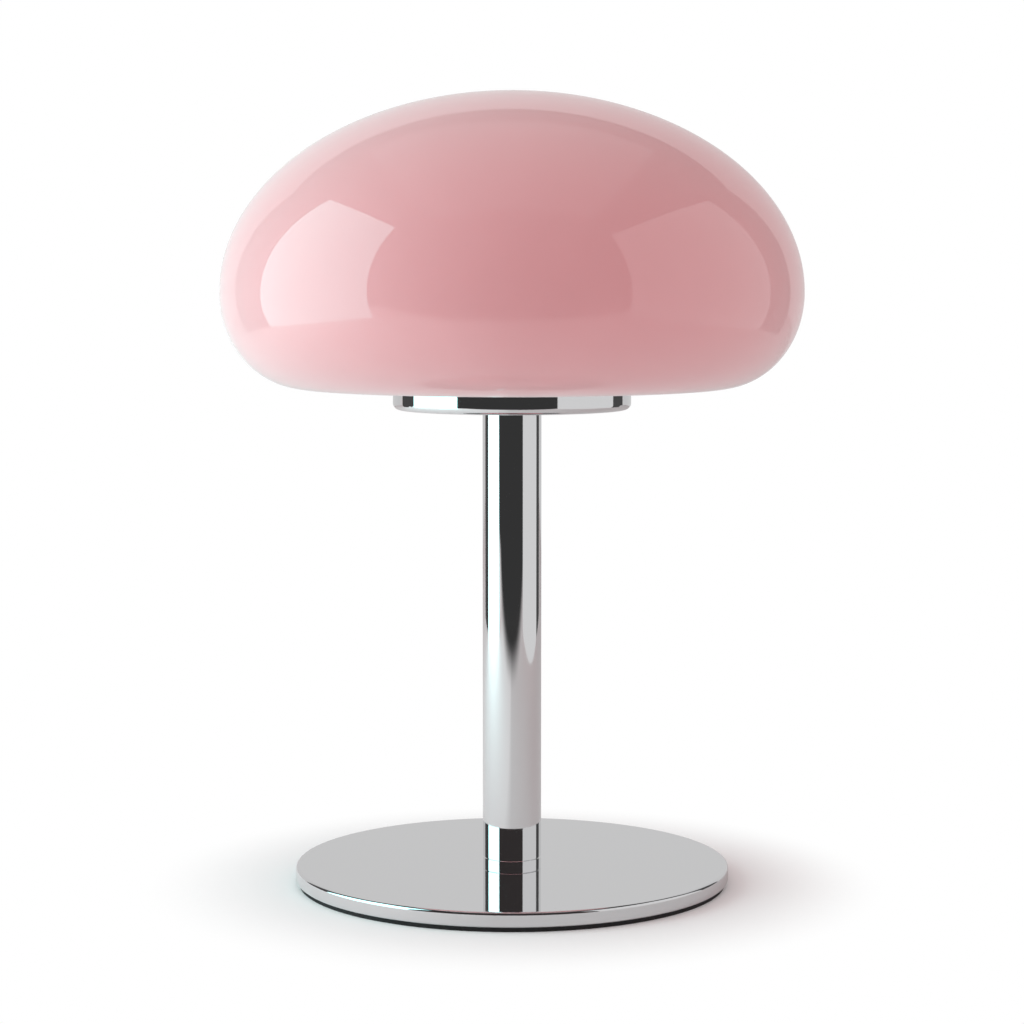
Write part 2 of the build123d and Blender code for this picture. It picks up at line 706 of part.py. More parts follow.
def bulb_led_board():
    """Aluminium board seated in the housing's rim."""
    return disc(housing_rim_radius() - housing_wall - press_gap, housing_rim - board_thickness, housing_rim)


def bulb_led_chips():
    """Chips in a circle on the board."""
    chip = Pos(chip_circle / 2, 0, housing_rim) * Box(chip_size, chip_size, chip_height, align=standing)
    return [Rot(0, 0, 360 * i / chip_count) * chip for i in range(chip_count)]


def as_one_node(shape):
    """Several like pieces share a node as a group of separate solids."""
    return Compound(children=shape) if isinstance(shape, list) else shape


node_makers = {
    "base_pad": base_pad,
    "base_plate": base_plate,
    "base_screw": base_screw,
    "stem_foot_plug": stem_foot_plug,
    "stem_tube": stem_tube,
    "cable_grommet": cable_grommet,
    "stem_top_plug": stem_top_plug,
    "connector_body": connector_body,
    "connector_barrels": connector_barrels,
    "connector_clamp_screws": connector_clamp_screws,
    "connector_fixing_screw": connector_fixing_screw,
    "live_lead": lambda: lead(-1),
    "neutral_lead": lambda: lead(1),
    "shade_holder": shade_holder,
    "threaded_nipple": threaded_nipple,
    "holder_washer": holder_washer,
    "holder_nut": holder_nut,
    "shade_seal": shade_seal,
    "glass_shade": glass_shade,
    "lampholder_cap": lampholder_cap,
    "lampholder_lock_screw": lampholder_lock_screw,
    "lampholder_insert": lampholder_insert,
    "lampholder_terminals": lampholder_terminals,
    "lampholder_terminal_screws": lampholder_terminal_screws,
    "lampholder_rivets": lampholder_rivets,
    "lampholder_centre_contact": lampholder_centre_contact,
    "lampholder_screw_shell": lampholder_screw_shell,
    "lampholder_sleeve": lampholder_sleeve,
    "bulb_tip_contact": bulb_tip_contact,
    "bulb_insulator": bulb_insulator,
    "bulb_cap": bulb_cap,
    "bulb_housing": bulb_housing,
    "bulb_diffuser": bulb_diffuser,
    "bulb_led_board": bulb_led_board,
    "bulb_led_chips": bulb_led_chips,
}

os.makedirs("parts", exist_ok=True)
for node, make in node_makers.items():
    export_step(as_one_node(make()), f"parts/{node}.step")
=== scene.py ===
import math

import bpy
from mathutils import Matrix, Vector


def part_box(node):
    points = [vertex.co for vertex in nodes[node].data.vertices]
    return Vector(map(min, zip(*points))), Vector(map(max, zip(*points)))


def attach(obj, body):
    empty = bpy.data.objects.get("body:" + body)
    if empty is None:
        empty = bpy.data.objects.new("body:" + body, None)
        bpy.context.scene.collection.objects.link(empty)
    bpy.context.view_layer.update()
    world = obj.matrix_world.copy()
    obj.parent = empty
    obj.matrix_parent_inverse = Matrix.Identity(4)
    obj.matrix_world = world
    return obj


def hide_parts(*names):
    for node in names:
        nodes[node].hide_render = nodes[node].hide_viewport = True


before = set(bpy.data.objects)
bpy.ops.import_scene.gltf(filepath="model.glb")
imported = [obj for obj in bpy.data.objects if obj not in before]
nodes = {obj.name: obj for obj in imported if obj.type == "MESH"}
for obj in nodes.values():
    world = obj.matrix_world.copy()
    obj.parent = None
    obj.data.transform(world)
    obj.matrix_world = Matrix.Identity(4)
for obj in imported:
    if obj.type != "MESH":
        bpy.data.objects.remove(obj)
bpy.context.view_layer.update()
scene = bpy.context.scene

# --- Rubber foot pad -------------------------------------------------------------------------
# A die-cut rubber disc glued under the base, so that the steel never touches the table.
# Its cut edge shows as a thin black line under the chrome.
rubber_colour = (0.012, 0.012, 0.013, 1)
rubber_relief = 0.0001
noise_range = (0.3, 0.7)


def new_material(name, colour, roughness, metallic=0.0):
    """A material with its plain values set on the shader; returns its tree and shader too."""
    material = bpy.data.materials.new(name)
    material.use_nodes = True
    tree = material.node_tree
    shader = tree.nodes["Principled BSDF"]
    shader.inputs["Base Color"].default_value = colour
    shader.inputs["Roughness"].default_value = roughness
    shader.inputs["Metallic"].default_value = metallic
    return material, tree, shader


def object_noise(tree, size, detail=3.0):
    """Noise in the piece's own coordinates, with features of about that size in metres."""
    place = tree.nodes.new("ShaderNodeTexCoord")
    noise = tree.nodes.new("ShaderNodeTexNoise")
    noise.inputs["Scale"].default_value = 1 / size
    noise.inputs["Detail"].default_value = detail
    tree.links.new(place.outputs["Object"], noise.inputs["Vector"])
    return noise.outputs["Fac"]


def vary(tree, factor, low, high, socket):
    """Spread a noise between two values of a shader's socket."""
    spread = tree.nodes.new("ShaderNodeMapRange")
    spread.inputs["From Min"].default_value = noise_range[0]
    spread.inputs["From Max"].default_value = noise_range[1]
    spread.inputs["To Min"].default_value = low
    spread.inputs["To Max"].default_value = high
    tree.links.new(factor, spread.inputs["Value"])
    tree.links.new(spread.outputs["Result"], socket)


def tint(tree, factor, first, second, socket):
    """Blend two colours by a noise into a shader's socket."""
    ramp = tree.nodes.new("ShaderNodeValToRGB")
    for element, position, colour in zip(ramp.color_ramp.elements, noise_range, (first, second)):
        element.position = position
        element.color = colour
    tree.links.new(factor, ramp.inputs["Fac"])
    tree.links.new(ramp.outputs["Color"], socket)


def relief(tree, shader, height, depth):
    """Fine relief of the given depth in metres, from a height field."""
    bump = tree.nodes.new("ShaderNodeBump")
    bump.inputs["Strength"].default_value = 1.0
    bump.inputs["Distance"].default_value = depth
    tree.links.new(height, bump.inputs["Height"])
    tree.links.new(bump.outputs["Normal"], shader.inputs["Normal"])


def worn_material(name, colour, roughness, spread, grain, metallic=0.0, detail=3.0):
    """A material whose roughness wanders within a spread, in patches of about the grain's size.

    Returns the material, its tree, its shader and the noise of the patches.
    """
    material, tree, shader = new_material(name, colour, roughness, metallic)
    patches = object_noise(tree, grain, detail)
    vary(tree, patches, *spread, shader.inputs["Roughness"])
    return material, tree, shader, patches


def set_values(shader, values):
    """Set a shader's plain values by their labels."""
    for label, value in values.items():
        shader.inputs[label].default_value = value


def dress(names, material):
    """Give CAD nodes their finish."""
    for name in names:
        nodes[name].data.materials.clear()
        nodes[name].data.materials.append(material)


pad_rubber, tree, shader, grain = worn_material("pad_rubber", rubber_colour, roughness=0.8,
                                                spread=(0.7, 0.92), grain=0.0009)
relief(tree, shader, grain, rubber_relief)
dress(["base_pad"], pad_rubber)

# --- Chromed base, stem and dish -------------------------------------------------------------
# Turned steel and tube, polished and chrome plated. The plating mirrors the room, with a faint
# unevenness left by the polishing wheel. The base is one disc turned on a lathe, with a rounded
# upper edge, a small bevel underneath and a countersunk hole for the screw into the stem.
chrome_colour = (0.80, 0.80, 0.81, 1)
plate_edge = 0.0015
plate_bevel = 0.0004
screw_head = 0.008
screw_land = 0.0004
screw_shank = 0.00415
rim_loop = 0.0004
turning_steps = 256
hub_radius = 0.001
weld_distance = 1e-6
crease_angle = 0.6
quarter_turn = math.pi / 2


def put(tree, kind, values, **settings):
    """Add a node with its settings; its inputs come from plain values or other nodes' outputs."""
    node = tree.nodes.new(kind)
    for name, value in settings.items():
        setattr(node, name, value)
    for name, value in values.items():
        if isinstance(value, bpy.types.NodeSocket):
            tree.links.new(value, node.inputs[name])
        else:
            node.inputs[name].default_value = value
    return node


def reckon(tree, operation, *terms):
    """One step of arithmetic in a tree."""
    return put(tree, "ShaderNodeMath", dict(enumerate(terms)), operation=operation).outputs[0]


def plus(tree, first, second):
    return reckon(tree, "ADD", first, second)


def minus(tree, first, second):
    return reckon(tree, "SUBTRACT", first, second)


def times(tree, first, second):
    return reckon(tree, "MULTIPLY", first, second)


def new_form(name, sizes, finishes):
    """A Geometry Nodes tree with its named sizes and finishes; returns it with its inputs."""
    tree = bpy.data.node_groups.new(name, "GeometryNodeTree")
    tree.interface.new_socket("Geometry", in_out="OUTPUT", socket_type="NodeSocketGeometry")
    for label in sizes:
        tree.interface.new_socket(label, in_out="INPUT", socket_type="NodeSocketFloat")
    for label in finishes:
        tree.interface.new_socket(label, in_out="INPUT", socket_type="NodeSocketMaterial")
    return tree, tree.nodes.new("NodeGroupInput").outputs


def finish_form(tree, geometry, finish):
    """End a tree: welded, smooth but for its sharp edges, made real, and dressed."""
    welded = put(tree, "GeometryNodeMergeByDistance", {"Geometry": geometry,
                                                       "Distance": weld_distance})
    smooth = put(tree, "GeometryNodeSetShadeSmooth", {"Geometry": welded.outputs[0]})
    angle = tree.nodes.new("GeometryNodeInputMeshEdgeAngle")
    crease = put(tree, "FunctionNodeCompare", {"A": angle.outputs[0], "B": crease_angle},
                 operation="GREATER_THAN")
    creased = put(tree, "GeometryNodeSetShadeSmooth", {"Geometry": smooth.outputs[0],
                                                       "Selection": crease.outputs[0],
                                                       "Shade Smooth": False}, domain="EDGE")
    real = put(tree, "GeometryNodeRealizeInstances", {"Geometry": creased.outputs[0]})
    dressed = put(tree, "GeometryNodeSetMaterial", {"Geometry": real.outputs[0],
                                                    "Material": finish})
    return dressed.outputs[0]


def make_piece(name, tree, inputs):
    """Run a tree with its inputs set, and keep the result as a plain mesh in a new object."""
    piece = bpy.data.objects.new(name, bpy.data.meshes.new(name + "_start"))
    scene.collection.objects.link(piece)
    modifier = piece.modifiers.new("form", "NODES")
    modifier.node_group = tree
    for socket in tree.interface.items_tree:
        if socket.in_out == "INPUT":
            modifier[socket.identifier] = inputs[socket.name]
    evaluated = piece.evaluated_get(bpy.context.evaluated_depsgraph_get())
    mesh = bpy.data.meshes.new_from_object(evaluated)
    while mesh.materials and mesh.materials[0] is None:
        mesh.materials.pop(index=0)
    piece.modifiers.clear()
    piece.data = mesh
    mesh.name = name
    return piece


def section_arc(tree, centre, radii, start, points, backwards=False):
    """A quarter turn of a section, from a start angle, as part of a circle or an ellipse."""
    arc = put(tree, "GeometryNodeCurveArc", {"Resolution": points, "Radius": 1.0,
                                             "Start Angle": start,
                                             "Sweep Angle": quarter_turn}, mode="RADIUS")
    size = put(tree, "ShaderNodeCombineXYZ", {"X": radii[0], "Y": radii[1], "Z": 1.0})
    place = put(tree, "ShaderNodeCombineXYZ", {"X": centre[0], "Y": centre[1]})
    curve = put(tree, "GeometryNodeTransform", {"Geometry": arc.outputs["Curve"],
                                                "Scale": size.outputs[0],
                                                "Translation": place.outputs[0]}).outputs[0]
    if backwards:
        return put(tree, "GeometryNodeReverseCurve", {"Curve": curve}).outputs[0]
    return curve


def section_line(tree, start, end, points=2):
    """A straight stretch of a section."""
    low = put(tree, "ShaderNodeCombineXYZ", {"X": start[0], "Y": start[1]})
    high = put(tree, "ShaderNodeCombineXYZ", {"X": end[0], "Y": end[1]})
    line = put(tree, "GeometryNodeCurvePrimitiveLine", {"Start": low.outputs[0],
                                                        "End": high.outputs[0]})
    return put(tree, "GeometryNodeResampleCurve", {"Curve": line.outputs[0],
                                                   "Count": points}).outputs[0]


def spin(tree, stretches, steps=turning_steps):
    """Turn stretches of a section about the lamp's axis.

    They run from the inner end of the underside outwards, up the outside, and back inside.
    """
    joined = tree.nodes.new("GeometryNodeJoinGeometry")
    for stretch in reversed(stretches):
        tree.links.new(stretch, joined.inputs[0])
    moved = put(tree, "GeometryNodeTransform", {"Geometry": joined.outputs[0],
                                                "Translation": (-hub_radius, 0, 0),
                                                "Scale": (1, -1, 1)})
    circle = put(tree, "GeometryNodeCurvePrimitiveCircle", {"Resolution": steps,
                                                            "Radius": hub_radius})
    upright_circle = put(tree, "GeometryNodeSetCurveNormal", {"Curve": circle.outputs[0]},
                         mode="Z_UP")
    turned = put(tree, "GeometryNodeCurveToMesh", {"Curve": upright_circle.outputs[0],
                                                   "Profile Curve": moved.outputs[0]})
    return put(tree, "GeometryNodeFlipFaces", {"Mesh": turned.outputs[0]}).outputs[0]


chrome, *_ = worn_material("polished_chrome", chrome_colour, roughness=0.03,
                           spread=(0.02, 0.05), grain=0.02, metallic=1.0, detail=4)
dress(["stem_foot_plug", "stem_tube", "shade_holder"], chrome)

tree, size = new_form("turned_plate", ["Radius", "Bottom", "Top", "Edge Radius", "Bevel",
                                       "Head Radius", "Head Land", "Shank Radius"], ["Finish"])
bottom = size["Bottom"]
top = size["Top"]
edge = size["Edge Radius"]
side_low = plus(tree, bottom, size["Bevel"])
side_high = minus(tree, top, edge)
side_loop = minus(tree, side_high, rim_loop)
under_edge = minus(tree, size["Radius"], size["Bevel"])
flat_edge = minus(tree, size["Radius"], edge)
flat_loop = minus(tree, flat_edge, rim_loop)
land = plus(tree, bottom, size["Head Land"])
cone_top = plus(tree, land, minus(tree, size["Head Radius"], size["Shank Radius"]))
plate_form = spin(tree, [
    section_line(tree, (size["Head Radius"], bottom), (under_edge, bottom), points=6),
    section_line(tree, (under_edge, bottom), (size["Radius"], side_low)),
    section_line(tree, (size["Radius"], side_low), (size["Radius"], side_loop), points=3),
    section_line(tree, (size["Radius"], side_loop), (size["Radius"], side_high)),
    section_arc(tree, (flat_edge, side_high), (edge, edge), 0.0, points=17),
    section_line(tree, (flat_edge, top), (flat_loop, top)),
    section_line(tree, (flat_loop, top), (size["Shank Radius"], top), points=6),
    section_line(tree, (size["Shank Radius"], top), (size["Shank Radius"], cone_top)),
    section_line(tree, (size["Shank Radius"], cone_top), (size["Head Radius"], land)),
    section_line(tree, (size["Head Radius"], land), (size["Head Radius"], bottom)),
])
put(tree, "NodeGroupOutput", {0: finish_form(tree, plate_form, size["Finish"])})
plate_low, plate_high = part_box("base_plate")
plate = make_piece("turned_base_plate", tree, {
    "Radius": plate_high[0],
    "Bottom": plate_low[2],
    "Top": plate_high[2],
    "Edge Radius": plate_edge,
    "Bevel": plate_bevel,
    "Head Radius": screw_head,
    "Head Land": screw_land,
    "Shank Radius": screw_shank,
    "Finish": chrome,
})
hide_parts("base_plate")
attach(plate, "stand")

# --- Screws, plugs and nuts ------------------------------------------------------------------
# Plain zinc-plated steel, satin from the plating bath.
# It holds the base, the dish and the lampholder together, out of sight.
plated_steel, *_ = worn_material("plated_steel", (0.62, 0.62, 0.60, 1), roughness=0.3,
                                 spread=(0.22, 0.38), grain=0.003, metallic=1.0)
dress(["base_screw", "stem_top_plug", "connector_clamp_screws", "connector_fixing_screw",
       "threaded_nipple", "holder_washer", "holder_nut", "lampholder_lock_screw",
       "lampholder_terminal_screws"], plated_steel)

# --- Cable grommet ---------------------------------------------------------------------------
# A moulded rubber bush in the back of the stem, where the mains cord goes in.
# Its skin is finer and a little glossier than the pad's cut rubber.
grommet_relief = 0.00004
grommet_rubber, tree, shader, mould = worn_material("grommet_rubber", (0.02, 0.02, 0.022, 1),
                                                    roughness=0.5, spread=(0.42, 0.6),
                                                    grain=0.0006)
relief(tree, shader, mould, grommet_relief)
dress(["cable_grommet"], grommet_rubber)

# --- Connector -------------------------------------------------------------------------------
# A two-pole block of white nylon with brass barrels. The lampholder's stamped brass parts have
# the same finish as the barrels.
brass_dark = (0.70, 0.50, 0.22, 1)
brass_light = (0.80, 0.63, 0.31, 1)
nylon, *_ = worn_material("white_nylon", (0.84, 0.84, 0.80, 1), roughness=0.5,
                          spread=(0.42, 0.6), grain=0.002)
dress(["connector_body"], nylon)
brass, tree, shader, tarnish = worn_material("stamped_brass", (0.76, 0.58, 0.27, 1),
                                             roughness=0.25, spread=(0.18, 0.36), grain=0.004,
                                             metallic=1.0)
tint(tree, tarnish, brass_dark, brass_light, shader.inputs["Base Color"])
dress(["connector_barrels", "lampholder_terminals", "lampholder_rivets",
       "lampholder_centre_contact"], brass)

# --- Leads -----------------------------------------------------------------------------------
# Two silicone-insulated wires up the inside of the stem, brown for live and blue for neutral.
# The colour clouds a little along each wire.
insulation_grain = 0.003
for name, dark, light in (("live_lead", (0.10, 0.035, 0.015, 1), (0.15, 0.055, 0.025, 1)),
                          ("neutral_lead", (0.02, 0.09, 0.32, 1), (0.03, 0.13, 0.42, 1))):
    insulation, tree, shader = new_material(name + "_insulation", dark, roughness=0.45)
    tint(tree, object_noise(tree, insulation_grain), dark, light, shader.inputs["Base Color"])
    dress([name], insulation)

# --- Seal ------------------------------------------------------------------------------------
# A milky silicone ring that the glass stands on.
# Light goes a little way into it.
silicone, _, shader, _ = worn_material("milky_silicone", (0.75, 0.75, 0.73, 1), roughness=0.4,
                                       spread=(0.35, 0.5), grain=0.002)
set_values(shader, {"Subsurface Weight": 0.3, "Subsurface Radius": (0.002, 0.002, 0.002)})
dress(["shade_seal"], silicone)

# --- Glass shade -----------------------------------------------------------------------------
# Mouth-blown opal glass, rose outside over a white lining, turned while hot and fire polished.
# Its section is a quarter ellipse above the widest line and a tighter one below, rolled under
# into a flat underside and a neck that stands on the seal.
rose = (0.62, 0.14, 0.165, 1)
rose_light = (0.64, 0.155, 0.18, 1)
rose_clouds = 0.05
lining_white = (0.86, 0.80, 0.79, 1)
dome_rise = 0.0945
rim_drop = 0.0447
rim_run = 0.0391
glass_wall = 0.0035
dish_wall = 0.0012
neck_clearance = 0.0017
neck_bend = 0.0016
lip_rounding = 0.0012

tree, size = new_form("blown_shade", ["Widest Radius", "Widest Height", "Dome Rise", "Rim Run",
                                      "Rim Drop", "Wall", "Neck Radius", "Neck Bend",
                                      "Lip Height", "Lip Rounding"], ["Outside", "Lining"])
widest = size["Widest Height"]
wall = size["Wall"]
flat = minus(tree, size["Widest Radius"], size["Rim Run"])
under = minus(tree, widest, size["Rim Drop"])
inside = plus(tree, under, wall)
bend_centre = (plus(tree, size["Neck Radius"], size["Neck Bend"]),
               minus(tree, under, size["Neck Bend"]))
bore = minus(tree, size["Neck Radius"], wall)
corner = plus(tree, size["Lip Height"], size["Lip Rounding"])
lip = (size["Lip Rounding"], size["Lip Rounding"])
outer_lip = minus(tree, size["Neck Radius"], size["Lip Rounding"])
inner_lip = plus(tree, bore, size["Lip Rounding"])
inner_bend = plus(tree, size["Neck Bend"], wall)
dome_inside = (minus(tree, size["Widest Radius"], wall), minus(tree, size["Dome Rise"], wall))
rim_inside = (minus(tree, size["Rim Run"], wall), minus(tree, size["Rim Drop"], wall))
outside = spin(tree, [
    section_line(tree, (inner_lip, size["Lip Height"]), (outer_lip, size["Lip Height"]),
                 points=3),
    section_arc(tree, (outer_lip, corner), lip, 3 * quarter_turn, points=7),
    section_line(tree, (size["Neck Radius"], corner), (size["Neck Radius"], bend_centre[1]),
                 points=4),
    section_arc(tree, bend_centre, (size["Neck Bend"], size["Neck Bend"]), quarter_turn,
                points=9, backwards=True),
    section_line(tree, (bend_centre[0], under), (flat, under), points=12),
    section_arc(tree, (flat, widest), (size["Rim Run"], size["Rim Drop"]), 3 * quarter_turn,
                points=41),
    section_arc(tree, (0.0, widest), (size["Widest Radius"], size["Dome Rise"]), 0.0, points=65),
])
lining = spin(tree, [
    section_arc(tree, (0.0, widest), dome_inside, 0.0, points=49, backwards=True),
    section_arc(tree, (flat, widest), rim_inside, 3 * quarter_turn, points=31, backwards=True),
    section_line(tree, (flat, inside), (bend_centre[0], inside), points=12),
    section_arc(tree, bend_centre, (inner_bend, inner_bend), quarter_turn, points=9),
    section_line(tree, (bore, bend_centre[1]), (bore, corner), points=4),
    section_arc(tree, (inner_lip, corner), lip, 2 * quarter_turn, points=7),
])
marked = put(tree, "GeometryNodeStoreNamedAttribute", {"Geometry": lining, "Name": "lining",
                                                       "Value": True},
             data_type="BOOLEAN", domain="FACE")
both = tree.nodes.new("GeometryNodeJoinGeometry")
tree.links.new(marked.outputs[0], both.inputs[0])
tree.links.new(outside, both.inputs[0])
rosy = finish_form(tree, both.outputs[0], size["Outside"])
lined = put(tree, "GeometryNodeInputNamedAttribute", {"Name": "lining"}, data_type="BOOLEAN")
white_inside = put(tree, "GeometryNodeSetMaterial", {"Geometry": rosy,
                                                     "Selection": lined.outputs["Attribute"],
                                                     "Material": size["Lining"]})
put(tree, "NodeGroupOutput", {0: white_inside.outputs[0]})
shade_tree = tree

# The colour sits under a clear polished skin; the sheen is the milky scatter of opal glass.
opal, tree, shader = new_material("rose_opal_glass", rose, roughness=0.55)
tint(tree, object_noise(tree, rose_clouds, detail=2), rose, rose_light,
     shader.inputs["Base Color"])
set_values(shader, {
    "Subsurface Weight": 0.3,
    "Subsurface Radius": (0.006, 0.004, 0.004),
    "Subsurface Scale": 1.0,
    "Specular IOR Level": 0.5,
    "Coat Weight": 1.0,
    "Coat Roughness": 0.01,
    "Coat IOR": 1.7,
    "Sheen Weight": 0.6,
    "Sheen Roughness": 1.0,
})
white_lining, *_ = worn_material("white_opal_lining", lining_white, roughness=0.25,
                                 spread=(0.2, 0.32), grain=0.03)

shade_low, shade_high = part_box("glass_shade")
dish_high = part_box("shade_holder")[1]
glass = make_piece("blown_glass_shade", shade_tree, {
    "Widest Radius": shade_high[0],
    "Widest Height": shade_high[2] - dome_rise,
    "Dome Rise": dome_rise,
    "Rim Run": rim_run,
    "Rim Drop": rim_drop,
    "Wall": glass_wall,
    "Neck Radius": dish_high[0] - dish_wall - neck_clearance,
    "Neck Bend": neck_bend,
    "Lip Height": shade_low[2],
    "Lip Rounding": lip_rounding,
    "Outside": opal,
    "Lining": white_lining,
})
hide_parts("glass_shade")
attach(glass, "shade")

# --- Lampholder ------------------------------------------------------------------------------
# A moulded E27 holder: a bowl, a skirt screwed over it, and a glazed ceramic insert.
# Moulded plastic is satin, the glaze glossier and less even.
moulded, *_ = worn_material("moulded_white", (0.80, 0.80, 0.78, 1), roughness=0.35,
                            spread=(0.28, 0.42), grain=0.002)
dress(["lampholder_cap", "lampholder_sleeve"], moulded)
ceramic, *_ = worn_material("glazed_ceramic", (0.86, 0.84, 0.79, 1), roughness=0.15,
                            spread=(0.1, 0.3), grain=0.003)
dress(["lampholder_insert"], ceramic)

# --- Screw shell -----------------------------------------------------------------------------
# The shell that the bulb screws into: a drawn brass cup with the E27 thread rolled into its
# wall, a floor round the contact and a turned-out rim.
thread_pitch = 0.003629
thread_depth = 0.00085
thread_steps = 120
wall_points = 90
run_out = 0.5
floor_margin = 0.3
rim_margin = 0.2
shell_bore = 0.01345
shell_wall = 0.0004
shell_hole = 0.0074
half_a_pitch_on = math.pi


def rolled_thread(tree, geometry, pitch, depth, low, high, start):
    """Roll a right-hand thread into a turned wall, which moves out by up to the depth, or in."""
    place = tree.nodes.new("GeometryNodeInputPosition").outputs[0]
    axes = put(tree, "ShaderNodeSeparateXYZ", {0: place}).outputs
    turn = reckon(tree, "ARCTAN2", axes["Y"], axes["X"])
    rise = reckon(tree, "DIVIDE", axes["Z"], pitch)
    phase = plus(tree, minus(tree, times(tree, rise, 2 * math.pi), turn), start)
    trough = times(tree, minus(tree, 1.0, reckon(tree, "COSINE", phase)), 0.5)
    fade = times(tree, pitch, run_out)
    begun = put(tree, "ShaderNodeMapRange", {"Value": axes["Z"], "From Min": low,
                                             "From Max": plus(tree, low, fade)},
                interpolation_type="SMOOTHSTEP")
    ended = put(tree, "ShaderNodeMapRange", {"Value": axes["Z"], "From Min": high,
                                             "From Max": minus(tree, high, fade)},
                interpolation_type="SMOOTHSTEP")
    run = times(tree, begun.outputs["Result"], ended.outputs["Result"])
    move = times(tree, times(tree, trough, run), depth)
    level = put(tree, "ShaderNodeVectorMath", {0: place, 1: (1, 1, 0)}, operation="MULTIPLY")
    outward = put(tree, "ShaderNodeVectorMath", {0: level.outputs[0]}, operation="NORMALIZE")
    offset = put(tree, "ShaderNodeVectorMath", {0: outward.outputs[0], "Scale": move},
                 operation="SCALE")
    return put(tree, "GeometryNodeSetPosition", {"Geometry": geometry,
                                                 "Offset": offset.outputs[0]}).outputs[0]


tree, size = new_form("threaded_shell", ["Bore", "Wall", "Bottom", "Top", "Hole", "Rim Radius",
                                         "Pitch", "Depth"], ["Finish"])
bore, bottom, top, hole, rim_edge = (size[label] for label in
                                     ("Bore", "Bottom", "Top", "Hole", "Rim Radius"))
outer = plus(tree, bore, size["Wall"])
floor = plus(tree, bottom, size["Wall"])
rim = minus(tree, top, size["Wall"])
shell_form = spin(tree, [
    section_line(tree, (hole, bottom), (outer, bottom), points=3),
    section_line(tree, (outer, bottom), (outer, rim), wall_points),
    section_line(tree, (outer, rim), (rim_edge, rim), points=3),
    section_line(tree, (rim_edge, rim), (rim_edge, top)),
    section_line(tree, (rim_edge, top), (bore, top), points=3),
    section_line(tree, (bore, top), (bore, floor), wall_points),
    section_line(tree, (bore, floor), (hole, floor), points=3),
    section_line(tree, (hole, floor), (hole, bottom)),
], thread_steps)
thread_low = plus(tree, floor, times(tree, size["Pitch"], floor_margin))
thread_high = minus(tree, rim, times(tree, size["Pitch"], rim_margin))
rolled = rolled_thread(tree, shell_form, size["Pitch"], size["Depth"], thread_low, thread_high,
                       half_a_pitch_on)
put(tree, "NodeGroupOutput", {0: finish_form(tree, rolled, size["Finish"])})
shell_low, shell_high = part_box("lampholder_screw_shell")
shell = make_piece("rolled_screw_shell", tree, {
    "Bore": shell_bore,
    "Wall": shell_wall,
    "Bottom": shell_low[2],
    "Top": shell_high[2],
    "Hole": shell_hole,
    "Rim Radius": shell_high[0],
    "Pitch": thread_pitch,
    "Depth": thread_depth,
    "Finish": brass,
})
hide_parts("lampholder_screw_shell")
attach(shell, "stand")

# --- Bulb ------------------------------------------------------------------------------------
# A 45 mm golf-ball lamp: frosted globe, white housing, black glass round a nickel-plated tip,
# and inside the globe a white-masked board with its chips.
globe, _, shader, _ = worn_material("frosted_globe", (0.90, 0.89, 0.86, 1), roughness=0.3,
                                    spread=(0.25, 0.4), grain=0.004)
set_values(shader, {"Subsurface Weight": 0.4, "Subsurface Radius": (0.006, 0.006, 0.006)})
dress(["bulb_diffuser"], globe)
nickel, *_ = worn_material("nickel_plate", (0.68, 0.66, 0.62, 1), roughness=0.25,
                           spread=(0.18, 0.35), grain=0.003, metallic=1.0)
dress(["bulb_tip_contact"], nickel)
for name, finish, colour, roughness, spread, grain in (
        ("bulb_housing", "bulb_housing_white", (0.85, 0.85, 0.84, 1), 0.3, (0.25, 0.38), 0.003),
        ("bulb_insulator", "black_vitrite", (0.01, 0.01, 0.014, 1), 0.12, (0.08, 0.2), 0.002),
        ("bulb_led_board", "masked_board", (0.82, 0.82, 0.83, 1), 0.35, (0.3, 0.45), 0.002),
        ("bulb_led_chips", "phosphor_gel", (0.86, 0.66, 0.12, 1), 0.4, (0.35, 0.5), 0.001)):
    dress([name], worn_material(finish, colour, roughness, spread, grain)[0])

# --- Bulb cap --------------------------------------------------------------------------------
# A thin nickel-plated cup with the E27 thread rolled inwards. Its top stays plain where the
# housing's spigot fills it, and its foot tapers to a mouth round the black glass.
cap_wall = 0.0005
cap_taper = 0.003
cap_mouth = 0.0102
cap_lip = 0.001
cap_spigot = 0.006
in_step = 0.0
tree, size = new_form("rolled_cap", ["Radius", "Wall", "Bottom", "Top", "Taper", "Mouth", "Lip",
                                     "Plain Top", "Pitch", "Depth"], ["Finish"])
radius, bottom, top, mouth = (size[label] for label in ("Radius", "Bottom", "Top", "Mouth"))
shoulder = plus(tree, bottom, size["Taper"])
bore = minus(tree, radius, size["Wall"])
inner_shoulder = plus(tree, shoulder, size["Wall"])
seat = minus(tree, mouth, size["Lip"])
cap_form = spin(tree, [
    section_line(tree, (seat, bottom), (mouth, bottom)),
    section_line(tree, (mouth, bottom), (radius, shoulder), points=8),
    section_line(tree, (radius, shoulder), (radius, top), wall_points),
    section_line(tree, (radius, top), (bore, top)),
    section_line(tree, (bore, top), (bore, inner_shoulder), wall_points),
    section_line(tree, (bore, inner_shoulder), (seat, bottom), points=8),
], thread_steps)
thread_high = minus(tree, top, size["Plain Top"])
rolled = rolled_thread(tree, cap_form, size["Pitch"], size["Depth"], shoulder, thread_high,
                       in_step)
put(tree, "NodeGroupOutput", {0: finish_form(tree, rolled, size["Finish"])})
cap_low, cap_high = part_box("bulb_cap")
